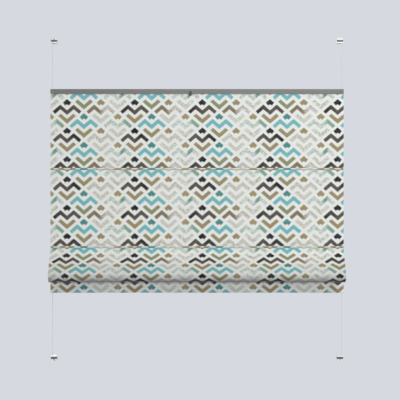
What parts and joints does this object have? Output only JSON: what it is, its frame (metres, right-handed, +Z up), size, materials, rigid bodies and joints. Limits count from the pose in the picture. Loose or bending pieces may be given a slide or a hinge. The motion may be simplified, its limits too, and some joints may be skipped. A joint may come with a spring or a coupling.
{
  "type": "tensioned roman blind",
  "caption": "Folding fabric blind on two taut side cords between clamps over a window sash, with a sliding top rail, cross rods and a weighted hem.",
  "frame": {"origin": "on the window sash's top edge, in the plane of its room-side face, midway between the two top clamps", "axes": "+Z up; -Y towards the room, +Y towards the window; +X to the right seen from the room"},
  "size_m": [1, 0.1216, 1.104],
  "materials": {
    "white_plastic": "satin",
    "dark_plastic": "satin",
    "grey_plastic": "satin",
    "rail_aluminium": "satin",
    "bare_aluminium": "satin",
    "steel": "satin",
    "rubber": "matte",
    "glass_fibre": "satin",
    "cord": "matte",
    "printed_cloth": "matte"
  },
  "bodies": {
    "clamps": {"top_left_clamp_bracket": "white_plastic", "top_left_clamp_cord_shoe": "white_plastic", "top_left_clamp_cord_lock": "dark_plastic", "top_right_clamp_bracket": "white_plastic", "top_right_clamp_cord_shoe": "white_plastic", "top_right_clamp_cord_lock": "dark_plastic", "bottom_left_clamp_bracket": "white_plastic", "bottom_left_clamp_cord_shoe": "white_plastic", "bottom_left_clamp_cord_lock": "dark_plastic", "bottom_right_clamp_bracket": "white_plastic", "bottom_right_clamp_cord_shoe": "white_plastic", "bottom_right_clamp_cord_lock": "dark_plastic", "tension_cord_left": "cord", "tension_cord_right": "cord"},
    "top_left_clamp_screw": {"top_left_clamp_screw": "steel"},
    "top_left_clamp_jaw": {"top_left_clamp_jaw": "white_plastic", "top_left_clamp_pad": "rubber"},
    "top_right_clamp_screw": {"top_right_clamp_screw": "steel"},
    "top_right_clamp_jaw": {"top_right_clamp_jaw": "white_plastic", "top_right_clamp_pad": "rubber"},
    "bottom_left_clamp_screw": {"bottom_left_clamp_screw": "steel"},
    "bottom_left_clamp_jaw": {"bottom_left_clamp_jaw": "white_plastic", "bottom_left_clamp_pad": "rubber"},
    "bottom_right_clamp_screw": {"bottom_right_clamp_screw": "steel"},
    "bottom_right_clamp_jaw": {"bottom_right_clamp_jaw": "white_plastic", "bottom_right_clamp_pad": "rubber"},
    "top_rail": {"top_rail_profile": "rail_aluminium", "top_rail_cap_left": "grey_plastic", "top_rail_cap_right": "grey_plastic", "top_rail_bush_left": "white_plastic", "top_rail_bush_right": "white_plastic", "crossing_cord_upper": "cord", "crossing_cord_lower": "cord", "cord_spring_upper": "steel", "cord_spring_lower": "steel", "fabric_welt": "white_plastic", "grip_tab": "dark_plastic"},
    "fold_1": {"fabric_panel_upper": "printed_cloth"},
    "rod_1": {"rod_1": "glass_fibre", "rod_pocket_1": "printed_cloth", "rod_1_slider_left": "white_plastic", "rod_1_slider_right": "white_plastic"},
    "fold_2": {"fabric_panel_middle": "printed_cloth"},
    "rod_2": {"rod_2": "glass_fibre", "rod_pocket_2": "printed_cloth", "rod_2_slider_left": "white_plastic", "rod_2_slider_right": "white_plastic"},
    "fold_3": {"fabric_fold": "printed_cloth"},
    "rod_3": {"rod_3": "glass_fibre", "rod_pocket_3": "printed_cloth", "rod_3_slider_left": "white_plastic", "rod_3_slider_right": "white_plastic", "fabric_skirt": "printed_cloth", "bottom_bar": "bare_aluminium", "bottom_bar_cap_left": "white_plastic", "bottom_bar_cap_right": "white_plastic", "bottom_bar_bush_left": "white_plastic", "bottom_bar_bush_right": "white_plastic"}
  },
  "joints": [
    {"name": "top_left_clamp_screw_turn", "type": "hinge", "parent": "clamps", "child": "top_left_clamp_screw", "pos_m": [-0.4886, 0, 0.00375], "axis": [0, -1, 0], "range_deg": [0, 1805]},
    {"name": "top_left_clamp_jaw_slide", "type": "slide", "parent": "clamps", "child": "top_left_clamp_jaw", "axis": [0, 1, 0], "range_m": [0, 0.00225]},
    {"name": "top_right_clamp_screw_turn", "type": "hinge", "parent": "clamps", "child": "top_right_clamp_screw", "pos_m": [0.4886, 0, 0.00375], "axis": [0, -1, 0], "range_deg": [0, 1805]},
    {"name": "top_right_clamp_jaw_slide", "type": "slide", "parent": "clamps", "child": "top_right_clamp_jaw", "axis": [0, 1, 0], "range_m": [0, 0.00225]},
    {"name": "bottom_left_clamp_screw_turn", "type": "hinge", "parent": "clamps", "child": "bottom_left_clamp_screw", "pos_m": [-0.4886, 0, -1.09275], "axis": [0, -1, 0], "range_deg": [0, 1805]},
    {"name": "bottom_left_clamp_jaw_slide", "type": "slide", "parent": "clamps", "child": "bottom_left_clamp_jaw", "axis": [0, 1, 0], "range_m": [0, 0.00225]},
    {"name": "bottom_right_clamp_screw_turn", "type": "hinge", "parent": "clamps", "child": "bottom_right_clamp_screw", "pos_m": [0.4886, 0, -1.09275], "axis": [0, -1, 0], "range_deg": [0, 1805]},
    {"name": "bottom_right_clamp_jaw_slide", "type": "slide", "parent": "clamps", "child": "bottom_right_clamp_jaw", "axis": [0, 1, 0], "range_m": [0, 0.00225]},
    {"name": "top_rail_slide", "type": "slide", "parent": "clamps", "child": "top_rail", "axis": [0, 0, 1], "range_m": [-0.055, 0.15]},
    {"name": "fold_1_swing", "type": "slide", "parent": "top_rail", "child": "fold_1", "axis": [0, -0.9701, 0.2425], "range_m": [0, 0.08229], "deforming": ["fabric_panel_upper"]},
    {"name": "rod_1_rise", "type": "slide", "parent": "fold_1", "child": "rod_1", "axis": [0, 0.3324, 0.9431], "range_m": [0, 0.23874]},
    {"name": "fold_2_swing", "type": "slide", "parent": "rod_1", "child": "fold_2", "axis": [0, -0.9701, 0.2425], "range_m": [0, 0.08229], "deforming": ["fabric_panel_middle"]},
    {"name": "rod_2_rise", "type": "slide", "parent": "fold_2", "child": "rod_2", "axis": [0, 0.3324, 0.9431], "range_m": [0, 0.23874]},
    {"name": "fold_3_swing", "type": "slide", "parent": "rod_2", "child": "fold_3", "axis": [0, -0.9701, 0.2425], "range_m": [-0.05058, 0.00384], "deforming": ["fabric_fold"]},
    {"name": "rod_3_rise", "type": "slide", "parent": "fold_3", "child": "rod_3", "axis": [0, 0.3324, 0.9431], "range_m": [-0.14616, 0.00974]}
  ],
  "couplings": [
    {"joint": "top_left_clamp_screw_turn", "follows": "top_left_clamp_jaw_slide", "rad_per_m": 13963},
    {"joint": "top_right_clamp_screw_turn", "follows": "top_right_clamp_jaw_slide", "rad_per_m": 13963},
    {"joint": "bottom_left_clamp_screw_turn", "follows": "bottom_left_clamp_jaw_slide", "rad_per_m": 13963},
    {"joint": "bottom_right_clamp_screw_turn", "follows": "bottom_right_clamp_jaw_slide", "rad_per_m": 13963},
    {"joint": "fold_1_swing", "follows": "rod_1_rise", "ratio": 0.34262},
    {"joint": "fold_2_swing", "follows": "rod_2_rise", "ratio": 0.34262},
    {"joint": "fold_3_swing", "follows": "rod_3_rise", "ratio": 0.34262}
  ]
}
